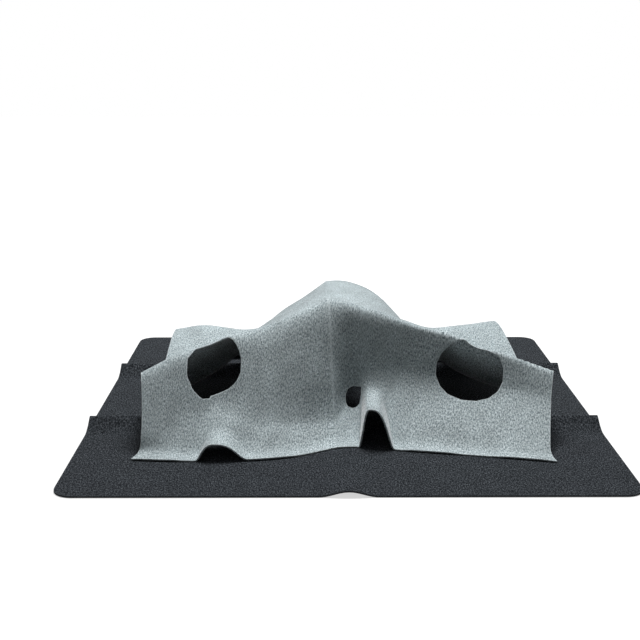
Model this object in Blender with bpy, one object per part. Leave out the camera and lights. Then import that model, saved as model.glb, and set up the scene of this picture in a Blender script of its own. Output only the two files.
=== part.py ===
"""Activity play mat for cats: a rippled felt rug with round holes on a flat felt base."""

import math

import bmesh
import bpy
import numpy as np
from mathutils import Matrix, Vector
from mathutils.geometry import delaunay_2d_cdt

# All lengths in metres. +X is the right, +Y the back, +Z up.
# The origin is the middle of the base's underside.

# Clearance between neighbouring pieces
GAP = 0.0003

# Base mat
BASE_SIDE = 0.99
BASE_CORNER_RADIUS = 0.035
GRIP_THICKNESS = 0.0008
FELT_THICKNESS = 0.003
# Pressed packing creases that run across the base
CREASE_HEIGHT = 0.020
CREASE_HALF_WIDTH = 0.055
CREASE_ROUNDING = 0.004
CREASE_PLACE_SHARES = (-0.16, 0.20)

# Upper rug
RUG_SIDE = 0.92
RUG_THICKNESS = 0.003
RUG_HEM = 0.03
HEM_RISE = 0.002
# Outward flare of the front corners
HEM_FLARE = 0.012
HEM_FLARE_REACH = 0.05
HEM_FLARE_POWER = 6
BIG_HOLE_DIAMETER = 0.12
SMALL_HOLE_DIAMETER = 0.048
# Hole centres on the flat rug: from the nearer side, from the front or rear edge
FRONT_LEFT_HOLE = (0.175, 0.191)
FRONT_RIGHT_HOLE = (0.153, 0.188)
# Hole centres on the flat rug: from the middle to the right, from the front or rear edge
HILL_HOLE = (0.125, 0.478)
SMALL_HOLE = (0.03, 0.127)

# Hook-tape patches under the rug's hems
HOOK_LENGTH = 0.05
HOOK_WIDTH = 0.02
HOOK_THICKNESS = 0.0016
HOOK_BEVEL = 0.0004
HOOK_INSET = 0.004
HOOK_FRONT_SHARES = (-0.44, -0.17, 0.26, 0.44)
HOOK_REAR_SHARES = (-0.43, -0.31, 0.03, 0.43)

# Fold of the rug at twelve stations from its left side to its right, in shares of RUG_SIDE.
# Each row: place across the flat rug, then X at four places along it; on the next line the
# section's corners: hem Y, knee Y and Z, front crest Y and Z, its back Y and Z, dip Y and Z,
# rear crest Y and Z, rear foot Y.
FOLD_SHARES = (
    (-0.500, -0.406, -0.413, -0.406, -0.377,
     -0.372, -0.331, 0.028, -0.263, 0.146, -0.202, 0.100, -0.090, 0.014, 0.215, 0.118, 0.320),
    (-0.400, -0.342, -0.340, -0.330, -0.307,
     -0.378, -0.306, 0.054, -0.237, 0.176, -0.173, 0.125, -0.055, 0.025, 0.220, 0.125, 0.325),
    (-0.290, -0.258, -0.248, -0.234, -0.215,
     -0.378, -0.270, 0.076, -0.210, 0.199, -0.142, 0.168, 0.020, 0.080, 0.226, 0.108, 0.325),
    (-0.180, -0.162, -0.155, -0.145, -0.135,
     -0.372, -0.287, 0.050, -0.190, 0.219, -0.120, 0.210, 0.050, 0.185, 0.226, 0.115, 0.320),
    (-0.100, -0.097, -0.093, -0.085, -0.072,
     -0.353, -0.265, 0.043, -0.177, 0.240, -0.100, 0.237, 0.090, 0.222, 0.220, 0.138, 0.305),
    (-0.030, -0.017, -0.030, -0.035, -0.022,
     -0.308, -0.230, 0.034, -0.152, 0.262, -0.080, 0.263, 0.100, 0.262, 0.200, 0.142, 0.280),
    (0.000, 0.003, -0.006, -0.009, -0.001,
     -0.305, -0.184, 0.054, -0.155, 0.257, -0.085, 0.260, 0.100, 0.266, 0.200, 0.138, 0.280),
    (0.100, 0.058, 0.068, 0.074, 0.069,
     -0.311, -0.173, 0.095, -0.157, 0.238, -0.100, 0.236, 0.100, 0.238, 0.200, 0.130, 0.275),
    (0.210, 0.118, 0.138, 0.148, 0.135,
     -0.326, -0.181, 0.101, -0.168, 0.219, -0.145, 0.198, 0.060, 0.150, 0.190, 0.138, 0.260),
    (0.310, 0.216, 0.235, 0.229, 0.190,
     -0.345, -0.203, 0.095, -0.179, 0.197, -0.174, 0.160, -0.011, 0.060, 0.178, 0.130, 0.270),
    (0.400, 0.307, 0.330, 0.306, 0.235,
     -0.364, -0.224, 0.086, -0.194, 0.165, -0.189, 0.128, -0.065, 0.027, 0.161, 0.147, 0.264),
    (0.500, 0.394, 0.426, 0.380, 0.262,
     -0.386, -0.263, 0.077, -0.230, 0.137, -0.222, 0.108, -0.097, 0.020, 0.161, 0.158, 0.242),
)
# Places along the rug, from its front edge, that the first four columns stand for
SIDE_PLACE_SHARES = (0.0, 0.25, 0.6, 1.0)
# The station that carries the sharp fold down the hill's front
FOLD_LINE_STATION = 5
# How far each corner of a section is rounded: hem, knee, front crest and its back, dip, rear crest, rear foot
ROUNDING_SHARES = (0.8, 0.45, 0.5, 0.8, 1.0, 0.5, 1.0)
# The flat run behind the rear foot
REAR_RUN_SHARE = 0.5
REAR_ROUNDING_SHARE = 0.08
# Arched ruffles of the hems, in shares of RUG_SIDE: crest across, reach left, reach right, height
FRONT_RUFFLE_SHARES = ((-0.288, 0.052, 0.085, 0.027), (0.085, 0.046, 0.105, 0.077))
REAR_RUFFLE_SHARES = ((-0.15, 0.105, 0.105, 0.075), (0.18, 0.085, 0.085, 0.065))
# Front ruffles act on a section in front of the first share, rear ones behind the second
RUFFLE_LIMIT_SHARES = (0.0, 0.217)
RUFFLE_BLEND_SHARE = 0.022

# Mesh counts
CORNER_ROWS = 4
CREASE_ROWS = 9
BASE_STRIPS = 4
BEZIER_POINTS = 15
BIG_HOLE_POINTS = 16
SMALL_HOLE_POINTS = 10
# Steps from corner to corner of a section, from the front edge to the rear one
SECTION_STEPS = (1, 2, 4, 2, 3, 4, 3, 2)
# Corners whose rows stay edges of the mesh: the two crests
CREST_CORNERS = (3, 6)
# Grid lines of the rug across it, in shares of RUG_SIDE
RUG_COLUMN_SHARES = (
    -0.500, -0.450, -0.400, -0.370, -0.340, -0.315, -0.288, -0.250, -0.215, -0.180, -0.130, -0.080,
    -0.030, 0.000, 0.022, 0.045, 0.065, 0.085, 0.110, 0.140, 0.180, 0.220, 0.270, 0.335, 0.400, 0.450, 0.500,
)
# Grid points nearer to a hole's rim than this share of its diameter are left out
RIM_CLEAR_SHARE = 0.14

# Heights worked out from the sizes above
FELT_BOTTOM = GRIP_THICKNESS + GAP
FELT_TOP = FELT_BOTTOM + FELT_THICKNESS
RUG_BOTTOM = FELT_TOP + HOOK_THICKNESS + 2 * GAP

# Fold-back axis: along X behind the whole rear hem, at the height of the rug's underside
PIVOT_BEHIND = 0.004


def clear_scene():
    """Remove every object that the file opened with."""
    for item in list(bpy.data.objects):
        bpy.data.objects.remove(item, do_unlink=True)


def make_material(name, colour, roughness):
    """Return a plain Principled material."""
    material = bpy.data.materials.new(name)
    material.use_nodes = True
    shader = material.node_tree.nodes["Principled BSDF"]
    shader.inputs["Base Color"].default_value = (*colour, 1.0)
    shader.inputs["Roughness"].default_value = roughness
    shader.inputs["Metallic"].default_value = 0.0
    material.diffuse_color = (*colour, 1.0)
    return material


def add_object(name, mesh, material, parent):
    """Link a mesh object in world coordinates and hang it on its parent."""
    item = bpy.data.objects.new(name, mesh)
    bpy.context.collection.objects.link(item)
    item.data.materials.append(material)
    if parent is not None:
        item.parent = parent
        item.matrix_parent_inverse = parent.matrix_world.inverted()
    return item


def add_empty(name, place, parent):
    """Add an empty on a joint's axis."""
    empty = bpy.data.objects.new(name, None)
    empty.empty_display_size = RUG_HEM
    empty.matrix_world = Matrix.Translation(place)
    bpy.context.collection.objects.link(empty)
    bpy.context.view_layer.update()
    if parent is not None:
        empty.parent = parent
        empty.matrix_parent_inverse = parent.matrix_world.inverted()
        bpy.context.view_layer.update()
    return empty


# Base mat


def crease_profile(offset):
    """Height of a pressed crease at a distance from its line: a rounded crest with hollow flanks."""
    soft = math.hypot(offset, CREASE_ROUNDING) - CREASE_ROUNDING
    span = math.hypot(CREASE_HALF_WIDTH, CREASE_ROUNDING) - CREASE_ROUNDING
    return CREASE_HEIGHT * max(0.0, 1.0 - soft / span) ** 2


def base_relief(y):
    """Height of the base's creases above the plane that it lies on."""
    return sum(crease_profile(y - share * BASE_SIDE) for share in CREASE_PLACE_SHARES)


def base_rows():
    """Y of the base's grid lines: corners, creases and the flat runs between them."""
    half = BASE_SIDE / 2
    inner = half - BASE_CORNER_RADIUS
    rows = []
    for step in range(CORNER_ROWS + 1):
        angle = math.pi / 2 * step / CORNER_ROWS
        rows.append(inner + BASE_CORNER_RADIUS * math.cos(angle))
    rows += [-row for row in rows]
    for share in CREASE_PLACE_SHARES:
        for step in range(CREASE_ROWS):
            part = 2 * step / (CREASE_ROWS - 1) - 1
            rows.append(share * BASE_SIDE + CREASE_HALF_WIDTH * part * abs(part))
    return sorted(set(round(row, 6) for row in rows))


def base_columns():
    """X of the base's grid lines between its rounded corners."""
    inner = BASE_SIDE / 2 - BASE_CORNER_RADIUS
    return [inner * (2 * step / BASE_STRIPS - 1) for step in range(BASE_STRIPS + 1)]


def edge_reach(y):
    """Half width of the base at a row, inside its rounded corners."""
    half = BASE_SIDE / 2
    into = abs(y) - (half - BASE_CORNER_RADIUS)
    if into <= 0:
        return half
    return half - BASE_CORNER_RADIUS + math.sqrt(max(0.0, BASE_CORNER_RADIUS ** 2 - into ** 2))


def build_base_sheet(name, bottom, thickness, material):
    """One layer of the base, with the creases pressed into both faces."""
    bm = bmesh.new()
    columns = base_columns()
    grids = []
    for height in (bottom, bottom + thickness):
        grid = []
        for y in base_rows():
            reach = edge_reach(y)
            line = [-reach] + columns + [reach]
            if math.isclose(reach, columns[-1], abs_tol=GAP):
                line = columns
            grid.append([bm.verts.new((x, y, height + base_relief(y))) for x in line])
        grids.append(grid)
    low, high = grids
    for grid, turn in ((low, True), (high, False)):
        for front, rear in zip(grid, grid[1:]):
            join_rows(bm, front, rear, turn)
    rim_low = grid_rim(low)
    rim_high = grid_rim(high)
    for index in range(len(rim_low)):
        after = (index + 1) % len(rim_low)
        bm.faces.new((rim_low[index], rim_low[after], rim_high[after], rim_high[index]))
    mesh = bpy.data.meshes.new(name)
    bmesh.ops.recalc_face_normals(bm, faces=bm.faces)
    bmesh.ops.triangulate(bm, faces=bm.faces)
    bm.to_mesh(mesh)
    bm.free()
    mesh.shade_smooth()
    mesh.set_sharp_from_angle(angle=math.radians(50))
    return add_object(name, mesh, material, None)


def join_rows(bm, front, rear, turn):
    """Fill the strip between two grid rows, which may differ by their end points."""
    if len(front) < len(rear):
        ends = ((front[0], rear[1], rear[0]), (front[-1], rear[-1], rear[-2]))
        rear = rear[1:-1]
    elif len(front) > len(rear):
        ends = ((front[0], front[1], rear[0]), (front[-2], front[-1], rear[-1]))
        front = front[1:-1]
    else:
        ends = ()
    corners = list(ends)
    for left in range(len(front) - 1):
        corners.append((front[left], front[left + 1], rear[left + 1], rear[left]))
    for loop in corners:
        bm.faces.new(tuple(reversed(loop)) if turn else loop)


def grid_rim(grid):
    """The outline of a grid of vertices, counter-clockwise from above."""
    rim = list(grid[0])
    rim += [row[-1] for row in grid[1:-1]]
    rim += list(reversed(grid[-1]))
    rim += [row[0] for row in reversed(grid[1:-1])]
    return rim


# Shape of the rug


def station_slopes(places, rows):
    """Smooth slopes at the stations, for a cubic run through them."""
    slopes = np.zeros_like(rows)
    for index in range(1, len(places) - 1):
        before = places[index] - places[index - 1]
        after = places[index + 1] - places[index]
        rise_before = (rows[index] - rows[index - 1]) / before
        rise_after = (rows[index + 1] - rows[index]) / after
        slopes[index] = (rise_before * after + rise_after * before) / (before + after)
    slopes[0] = (rows[1] - rows[0]) / (places[1] - places[0])
    slopes[-1] = (rows[-1] - rows[-2]) / (places[-1] - places[-2])
    return slopes


def fold_at(across):
    """The fold's shares at any place across the rug, with a break at the sharp fold line."""
    table = np.array(FOLD_SHARES)
    if across <= table[FOLD_LINE_STATION, 0]:
        table = table[:FOLD_LINE_STATION + 1]
    else:
        table = table[FOLD_LINE_STATION:]
    places = table[:, 0]
    rows = table[:, 1:]
    slopes = station_slopes(places, rows)
    index = int(np.clip(np.searchsorted(places, across, side="right") - 1, 0, len(places) - 2))
    width = places[index + 1] - places[index]
    t = (across - places[index]) / width
    start = (2 * t ** 3 - 3 * t ** 2 + 1) * rows[index] + (t ** 3 - 2 * t ** 2 + t) * width * slopes[index]
    end = (3 * t ** 2 - 2 * t ** 3) * rows[index + 1] + (t ** 3 - t ** 2) * width * slopes[index + 1]
    return start + end


def section_corners(fold):
    """Corners (Y, Z) of the section, as shares, from the front hem to the flat run at the rear."""
    hem, knee_y, knee_z, front_y, front_z, back_y, back_z, dip_y, dip_z, rear_y, rear_z, foot = fold[4:]
    return [
        np.array(corner) for corner in (
            (hem, 0.0),
            (hem + RUG_HEM / RUG_SIDE, HEM_RISE / RUG_SIDE),
            (knee_y, knee_z),
            (front_y, front_z),
            (back_y, back_z),
            (dip_y, dip_z),
            (rear_y, rear_z),
            (foot, 0.0),
            (foot + REAR_RUN_SHARE, 0.0),
        )
    ]


def section_run(across):
    """Fine points (Y, Z) of the rug's underside at a place across it, before it is laid on the base."""
    corners = section_corners(fold_at(across))
    last = len(corners) - 1
    run = [corners[0]]
    for index in range(1, last):
        ahead_share = ROUNDING_SHARES[index - 1] / 2 if index < last - 1 else REAR_ROUNDING_SHARE
        behind = corners[index] + (corners[index - 1] - corners[index]) * ROUNDING_SHARES[index - 1] / 2
        ahead = corners[index] + (corners[index + 1] - corners[index]) * ahead_share
        for t in np.linspace(0, 1, BEZIER_POINTS):
            run.append((1 - t) ** 2 * behind + 2 * t * (1 - t) * corners[index] + t ** 2 * ahead)
    for t in np.linspace(2 * REAR_ROUNDING_SHARE, 1, BEZIER_POINTS):
        run.append(corners[-2] + (corners[-1] - corners[-2]) * t)
    run = np.array(run)
    for ruffle in FRONT_RUFFLE_SHARES:
        lift_ruffle(run, across, ruffle, run[:, 0] < RUFFLE_LIMIT_SHARES[0])
    for ruffle in REAR_RUFFLE_SHARES:
        lift_ruffle(run, across, ruffle, run[:, 0] > RUFFLE_LIMIT_SHARES[1])
    return run * RUG_SIDE


def lift_ruffle(run, across, ruffle, near):
    """Raise the points that lie under an arched ruffle to its crest line, with a soft join."""
    crest, reach_left, reach_right, height = ruffle
    reach = reach_left if across < crest else reach_right
    offset = min(1.0, abs(across - crest) / reach)
    arch = (1 - offset ** 2) ** 2
    level = height * arch
    blend = RUFFLE_BLEND_SHARE * arch
    raised = 0.5 * (run[:, 1] + level + np.sqrt((run[:, 1] - level) ** 2 + blend ** 2))
    if arch > 0:
        run[near, 1] = raised[near]


def run_lengths(run):
    """Length along a section's points from its front hem."""
    steps = np.linalg.norm(np.diff(run, axis=0), axis=1)
    return np.concatenate([[0.0], np.cumsum(steps)])


def rug_point(u, s):
    """World point of the rug's underside: u to the right of its middle, s from its front edge."""
    across = u / RUG_SIDE
    run = section_run(across)
    length = run_lengths(run)
    y = float(np.interp(s, length, run[:, 0]))
    rise = float(np.interp(s, length, run[:, 1]))
    fold = fold_at(across)
    share = float(np.polyval(np.polyfit(SIDE_PLACE_SHARES, fold[:4], 3), s / RUG_SIDE))
    flare = max(0.0, 1 - s / HEM_FLARE_REACH) ** 2 * abs(2 * across) ** HEM_FLARE_POWER
    x = share * RUG_SIDE + math.copysign(HEM_FLARE, u) * flare
    return Vector((x, y, RUG_BOTTOM + math.hypot(rise, base_relief(y))))


# Rug


def rug_holes():
    """Centre (u, s), diameter and point count of each hole; the rear pair is the front pair, turned round."""
    half = RUG_SIDE / 2
    left = (FRONT_LEFT_HOLE[0] - half, FRONT_LEFT_HOLE[1])
    right = (half - FRONT_RIGHT_HOLE[0], FRONT_RIGHT_HOLE[1])
    big = [left, right, HILL_HOLE]
    holes = [(centre, BIG_HOLE_DIAMETER, BIG_HOLE_POINTS) for centre in big]
    holes.append((SMALL_HOLE, SMALL_HOLE_DIAMETER, SMALL_HOLE_POINTS))
    for centre in (left, right):
        holes.append(((-centre[0], RUG_SIDE - centre[1]), BIG_HOLE_DIAMETER, BIG_HOLE_POINTS))
    return holes


def flat_pattern():
    """Triangles of the flat rug with its holes cut out: points (u, s) and index triples."""
    holes = rug_holes()
    points = []
    edges = []
    for (u, s), diameter, count in holes:
        first = len(points)
        for step in range(count):
            angle = 2 * math.pi * (step + 0.5) / count
            points.append((u + diameter / 2 * math.cos(angle), s + diameter / 2 * math.sin(angle)))
            edges.append((first + step, first + (step + 1) % count))
    previous = None
    for across in RUG_COLUMN_SHARES:
        column = []
        for s, corner in column_places(across):
            u = across * RUG_SIDE
            if clear_of_holes(u, s, holes):
                column.append((len(points), corner))
                points.append((u, s))
            else:
                column.append((None, corner))
        edges += fold_edges(previous, column, points, across, holes)
        previous = column
    plane = [Vector((u, s)) for u, s in points]
    verts, _, faces, _, _, _ = delaunay_2d_cdt(plane, edges, [], 0, GAP / 100)
    kept = []
    for face in faces:
        centre = sum((verts[index] for index in face), Vector((0.0, 0.0))) / len(face)
        inside = any(
            all(on_rim(verts[index], hole) for index in face) and within_rim(centre, hole)
            for hole in holes
        )
        if not inside:
            kept.append(face)
    return [(vert.x, vert.y) for vert in verts], kept


def column_places(across):
    """Places along one column of the rug's grid, with the section corner that each one lies on, if any."""
    length = run_lengths(section_run(across))
    turns = [0.0]
    for corner in range(len(ROUNDING_SHARES)):
        turns.append(length[1 + corner * BEZIER_POINTS + BEZIER_POINTS // 2])
    turns.append(RUG_SIDE)
    places = []
    for span, steps in enumerate(SECTION_STEPS):
        for step in range(steps):
            place = turns[span] + (turns[span + 1] - turns[span]) * step / steps
            places.append((float(place), span if step == 0 else None))
    places.append((RUG_SIDE, None))
    return places


def clear_of_holes(u, s, holes):
    """Whether a grid point keeps its distance from every hole's rim."""
    return all(
        math.hypot(u - centre[0], s - centre[1]) > diameter * (0.5 + RIM_CLEAR_SHARE)
        for centre, diameter, _ in holes
    )


def fold_edges(previous, column, points, across, holes):
    """Edges that keep the crest rows and the sharp fold line in the mesh."""
    pairs = []
    if previous is not None:
        for (start, corner), (end, _) in zip(previous, column):
            if corner in CREST_CORNERS:
                pairs.append((start, end))
    if math.isclose(across, FOLD_SHARES[FOLD_LINE_STATION][0]):
        pairs += [(start, end) for (start, _), (end, _) in zip(column, column[1:])]
    kept = []
    for start, end in pairs:
        if start is None or end is None:
            continue
        middle = ((points[start][0] + points[end][0]) / 2, (points[start][1] + points[end][1]) / 2)
        if clear_of_holes(*middle, holes):
            kept.append((start, end))
    return kept


def on_rim(point, hole):
    """Whether a flat point lies on a hole's rim."""
    distance = math.hypot(point[0] - hole[0][0], point[1] - hole[0][1])
    return abs(distance - hole[1] / 2) < GAP


def within_rim(point, hole):
    """Whether a flat point lies inside the straight edges that make a hole's rim."""
    distance = math.hypot(point[0] - hole[0][0], point[1] - hole[0][1])
    return distance < hole[1] / 2 * math.cos(math.pi / hole[2])


def build_rug(material, parent):
    """The folded rug: its underside as a mesh, thickened upwards."""
    points, faces = flat_pattern()
    mesh = bpy.data.meshes.new("upper_rug")
    verts = [rug_point(u, s) for u, s in points]
    mesh.from_pydata(verts, [], [tuple(face) for face in faces])
    bm = bmesh.new()
    bm.from_mesh(mesh)
    bmesh.ops.triangulate(bm, faces=bm.faces)
    for face in bm.faces:
        flat = [Vector(points[vert.index]) for vert in face.verts]
        turn = (flat[1] - flat[0]).cross(flat[2] - flat[0])
        if turn < 0:
            face.normal_flip()
    bm.to_mesh(mesh)
    bm.free()
    mesh.shade_smooth()
    rug = add_object("upper_rug", mesh, material, parent)
    thicken = rug.modifiers.new("thickness", "SOLIDIFY")
    thicken.thickness = RUG_THICKNESS
    thicken.offset = 1.0
    thicken.use_even_offset = False
    return rug


# Hook patches


def build_hook(name, across, from_rear, material, parent):
    """One hook-tape patch, laid under the hem and turned along it."""
    u = across * RUG_SIDE
    inset = HOOK_INSET + HOOK_WIDTH / 2
    s = RUG_SIDE - inset if from_rear else inset
    middle = rug_point(u, s)
    left = rug_point(u - HOOK_LENGTH / 2, s)
    right = rug_point(u + HOOK_LENGTH / 2, s)
    turn = math.atan2(right.y - left.y, right.x - left.x)
    bm = bmesh.new()
    bmesh.ops.create_cube(bm, size=1.0)
    bmesh.ops.scale(bm, verts=bm.verts, vec=(HOOK_LENGTH, HOOK_WIDTH, HOOK_THICKNESS))
    bmesh.ops.bevel(bm, geom=bm.edges, offset=HOOK_BEVEL, segments=1, affect="EDGES")
    place = Vector((middle.x, middle.y, FELT_TOP + GAP + HOOK_THICKNESS / 2))
    bmesh.ops.transform(bm, matrix=Matrix.Translation(place) @ Matrix.Rotation(turn, 4, "Z"), verts=bm.verts)
    mesh = bpy.data.meshes.new(name)
    bm.to_mesh(mesh)
    bm.free()
    return add_object(name, mesh, material, parent)


def rear_hem_limit():
    """The rearmost Y of the rug."""
    return max(rug_point(share * RUG_SIDE, RUG_SIDE).y for share in RUG_COLUMN_SHARES)


def main():
    clear_scene()
    charcoal = make_material("charcoal_felt", (0.045, 0.052, 0.060), 0.95)
    grey = make_material("grey_felt", (0.39, 0.44, 0.45), 0.95)
    grip = make_material("grip_rubber", (0.02, 0.02, 0.02), 0.8)
    hook = make_material("hook_tape", (0.03, 0.03, 0.03), 0.7)
    build_base_sheet("base_grip", 0.0, GRIP_THICKNESS, grip)
    build_base_sheet("base_felt", FELT_BOTTOM, FELT_THICKNESS, charcoal)
    pivot = Vector((0.0, rear_hem_limit() + PIVOT_BEHIND, RUG_BOTTOM))
    rear_hem = add_empty("rear_hem_lift", pivot, None)
    rug_hinge = add_empty("rug_fold", pivot, rear_hem)
    build_rug(grey, rug_hinge)
    for number, share in enumerate(HOOK_FRONT_SHARES, 1):
        build_hook(f"hook_front_{number}", share, False, hook, rug_hinge)
    for number, share in enumerate(HOOK_REAR_SHARES, 1):
        build_hook(f"hook_rear_{number}", share, True, hook, rear_hem)
    print("fold-back axis at", tuple(round(value, 4) for value in pivot))


main()
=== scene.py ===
"""Fine surfaces, felt finishes and studio of a rippled felt play mat for cats."""

import math

import bmesh
import bpy
import numpy as np
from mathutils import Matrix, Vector
from mathutils.geometry import delaunay_2d_cdt


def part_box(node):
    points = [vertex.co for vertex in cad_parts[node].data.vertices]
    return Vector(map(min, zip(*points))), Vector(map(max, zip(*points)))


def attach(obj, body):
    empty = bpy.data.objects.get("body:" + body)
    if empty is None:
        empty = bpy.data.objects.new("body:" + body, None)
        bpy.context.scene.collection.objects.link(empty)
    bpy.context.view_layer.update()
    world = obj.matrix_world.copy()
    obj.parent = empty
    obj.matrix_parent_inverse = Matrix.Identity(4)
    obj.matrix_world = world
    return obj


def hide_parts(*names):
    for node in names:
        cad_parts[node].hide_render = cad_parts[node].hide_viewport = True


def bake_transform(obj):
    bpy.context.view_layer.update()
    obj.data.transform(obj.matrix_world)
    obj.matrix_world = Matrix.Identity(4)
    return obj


bl_info = {
    "name": "Felt play mat",
    "version": (1, 0, 0),
    "blender": (4, 5, 0),
    "location": "3D View > Sidebar > Play mat",
    "description": "Builds the fine felt sheets, hook patches and studio of a rippled play mat",
    "category": "Object",
}

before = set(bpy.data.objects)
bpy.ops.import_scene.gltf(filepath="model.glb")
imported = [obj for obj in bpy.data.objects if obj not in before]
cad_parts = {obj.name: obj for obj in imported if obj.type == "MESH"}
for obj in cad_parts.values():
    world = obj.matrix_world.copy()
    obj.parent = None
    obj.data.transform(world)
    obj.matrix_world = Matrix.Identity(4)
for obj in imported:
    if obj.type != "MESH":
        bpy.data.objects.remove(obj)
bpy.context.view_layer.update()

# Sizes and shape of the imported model, in metres and in shares of its sizes
GAP = 0.0003
BASE_SIDE = 0.99
BASE_CORNER_RADIUS = 0.035
GRIP_THICKNESS = 0.0008
FELT_THICKNESS = 0.003
CREASE_HEIGHT = 0.020
CREASE_HALF_WIDTH = 0.055
CREASE_ROUNDING = 0.004
CREASE_PLACE_SHARES = (-0.16, 0.20)
RUG_SIDE = 0.92
RUG_THICKNESS = 0.003
RUG_HEM = 0.03
HEM_RISE = 0.002
HEM_FLARE = 0.012
HEM_FLARE_REACH = 0.05
HEM_FLARE_POWER = 6
BIG_HOLE_DIAMETER = 0.12
SMALL_HOLE_DIAMETER = 0.048
FRONT_LEFT_HOLE = (0.175, 0.191)
FRONT_RIGHT_HOLE = (0.153, 0.188)
HILL_HOLE = (0.125, 0.478)
SMALL_HOLE = (0.03, 0.127)
HOOK_THICKNESS = 0.0016

# Low wave in the base's front edge, in this scene alone
HUMP_HEIGHT = 0.009
HUMP_HALF_WIDTH = 0.050
HUMP_REACH = 0.16

# Fold of the rug at twelve stations from its left side to its right, in shares of RUG_SIDE.
# Each row: place across the flat rug, then X at four places along it; on the next line the
# section's corners: hem Y, knee Y and Z, front crest Y and Z, its back Y and Z, dip Y and Z,
# rear crest Y and Z, rear foot Y.
FOLD_SHARES = (
    (-0.500, -0.406, -0.413, -0.406, -0.377,
     -0.372, -0.331, 0.028, -0.263, 0.146, -0.202, 0.100, -0.090, 0.014, 0.215, 0.118, 0.320),
    (-0.400, -0.342, -0.340, -0.330, -0.307,
     -0.378, -0.306, 0.054, -0.237, 0.176, -0.173, 0.125, -0.055, 0.025, 0.220, 0.125, 0.325),
    (-0.290, -0.258, -0.248, -0.234, -0.215,
     -0.378, -0.270, 0.076, -0.210, 0.199, -0.142, 0.168, 0.020, 0.080, 0.226, 0.108, 0.325),
    (-0.180, -0.162, -0.155, -0.145, -0.135,
     -0.372, -0.287, 0.050, -0.190, 0.219, -0.120, 0.210, 0.050, 0.185, 0.226, 0.115, 0.320),
    (-0.100, -0.097, -0.093, -0.085, -0.072,
     -0.353, -0.265, 0.043, -0.177, 0.240, -0.100, 0.237, 0.090, 0.222, 0.220, 0.138, 0.305),
    (-0.030, -0.017, -0.030, -0.035, -0.022,
     -0.308, -0.230, 0.034, -0.152, 0.262, -0.080, 0.263, 0.100, 0.262, 0.200, 0.142, 0.280),
    (0.000, 0.003, -0.006, -0.009, -0.001,
     -0.305, -0.184, 0.054, -0.155, 0.257, -0.085, 0.260, 0.100, 0.266, 0.200, 0.138, 0.280),
    (0.100, 0.058, 0.068, 0.074, 0.069,
     -0.311, -0.173, 0.095, -0.157, 0.238, -0.100, 0.236, 0.100, 0.238, 0.200, 0.130, 0.275),
    (0.210, 0.118, 0.138, 0.148, 0.135,
     -0.326, -0.181, 0.101, -0.168, 0.219, -0.145, 0.198, 0.060, 0.150, 0.190, 0.138, 0.260),
    (0.310, 0.216, 0.235, 0.229, 0.190,
     -0.345, -0.203, 0.095, -0.179, 0.197, -0.174, 0.160, -0.011, 0.060, 0.178, 0.130, 0.270),
    (0.400, 0.307, 0.330, 0.306, 0.235,
     -0.364, -0.224, 0.086, -0.194, 0.165, -0.189, 0.128, -0.065, 0.027, 0.161, 0.147, 0.264),
    (0.500, 0.394, 0.426, 0.380, 0.262,
     -0.386, -0.263, 0.077, -0.230, 0.137, -0.222, 0.108, -0.097, 0.020, 0.161, 0.158, 0.242),
)
FOLD_LINE_STATION = 5
SIDE_PLACE_SHARES = (0.0, 0.25, 0.6, 1.0)
ROUNDING_SHARES = (0.8, 0.45, 0.5, 0.8, 1.0, 0.5, 1.0)
REAR_RUN_SHARE = 0.5
REAR_ROUNDING_SHARE = 0.08

# Arches of the hems: crest, reach to its left and right, and height, in shares of RUG_SIDE.
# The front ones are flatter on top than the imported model's, so their power is higher.
FRONT_RUFFLE_SHARES = ((-0.288, 0.047, 0.080, 0.027), (0.082, 0.040, 0.102, 0.077))
FRONT_ARCH_POWER = 3
REAR_RUFFLE_SHARES = ((-0.15, 0.105, 0.105, 0.075), (0.18, 0.085, 0.085, 0.065))
REAR_ARCH_POWER = 2
RUFFLE_LIMIT_SHARES = (0.0, 0.217)
RUFFLE_BLEND_SHARE = 0.022

# Levels of the layers
FELT_BOTTOM = GRIP_THICKNESS + GAP
FELT_TOP = FELT_BOTTOM + FELT_THICKNESS
RUG_BOTTOM = FELT_TOP + HOOK_THICKNESS + 2 * GAP

# Fineness of the surfaces
BEZIER_POINTS = 15
RUG_STEP = 0.004
BASE_STEP = 0.008
CREASE_STEP = 0.002
CREASE_FINE_SHARE = 0.6
SMALLEST_ROW = 0.0004
ROW_DIGITS = 5
COLUMN_DIGITS = 6
BIG_RIM_POINTS = 96
SMALL_RIM_POINTS = 44
RIM_CLEARANCE = RUG_STEP * 0.45
CORNER_STEPS = 10
PATCH_CUTS = 3
MERGE_DISTANCE = GAP / 100
WELD_DISTANCE = 0.00001

# Cut edges: a rounding past the solid's outline, and a narrow band of faces beside it
EDGE_ROUNDING = 0.0007
EDGE_BAND = 0.0015
EDGE_CLEARANCE = EDGE_BAND * 1.8
EDGE_STEPS = 4
EDGE_REACH_POWER = 0.6
EDGE_LIFT_POWER = 0.8

# Unevenness of hand-laid felt: side edges that sway, and a swell where the rug stands free
SIDE_SWAY = 0.005
SIDE_SWAY_LENGTH = 0.40
SIDE_SWAY_START = 0.5
SIDE_SWAY_POWER = 6
SWELL_HEIGHT = 0.0010
SWELL_SIZE = 0.021
SWELL_PHASE = 0.4
SWELL_BENDS = (1.7, 1.3)
SWELL_RATES = (0.6, 0.8, 0.5)

# Lie of the hems: how far round a hook patch the rug stays up, and how high it is no longer
# settled and how high it stands quite free
HOOK_FADE = 0.022
SETTLED_BELOW = 0.02
FREE_ABOVE = 0.03

# Painted highlight: a paler line along the sharp fold, standing in for the light that the fold catches, by
# its places along the flat rug
FOLD_HIGHLIGHT_REACH = (0.075, 0.34)
FOLD_HIGHLIGHT_FADE = 0.03
FOLD_HIGHLIGHT_WIDTH = 0.002

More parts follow.
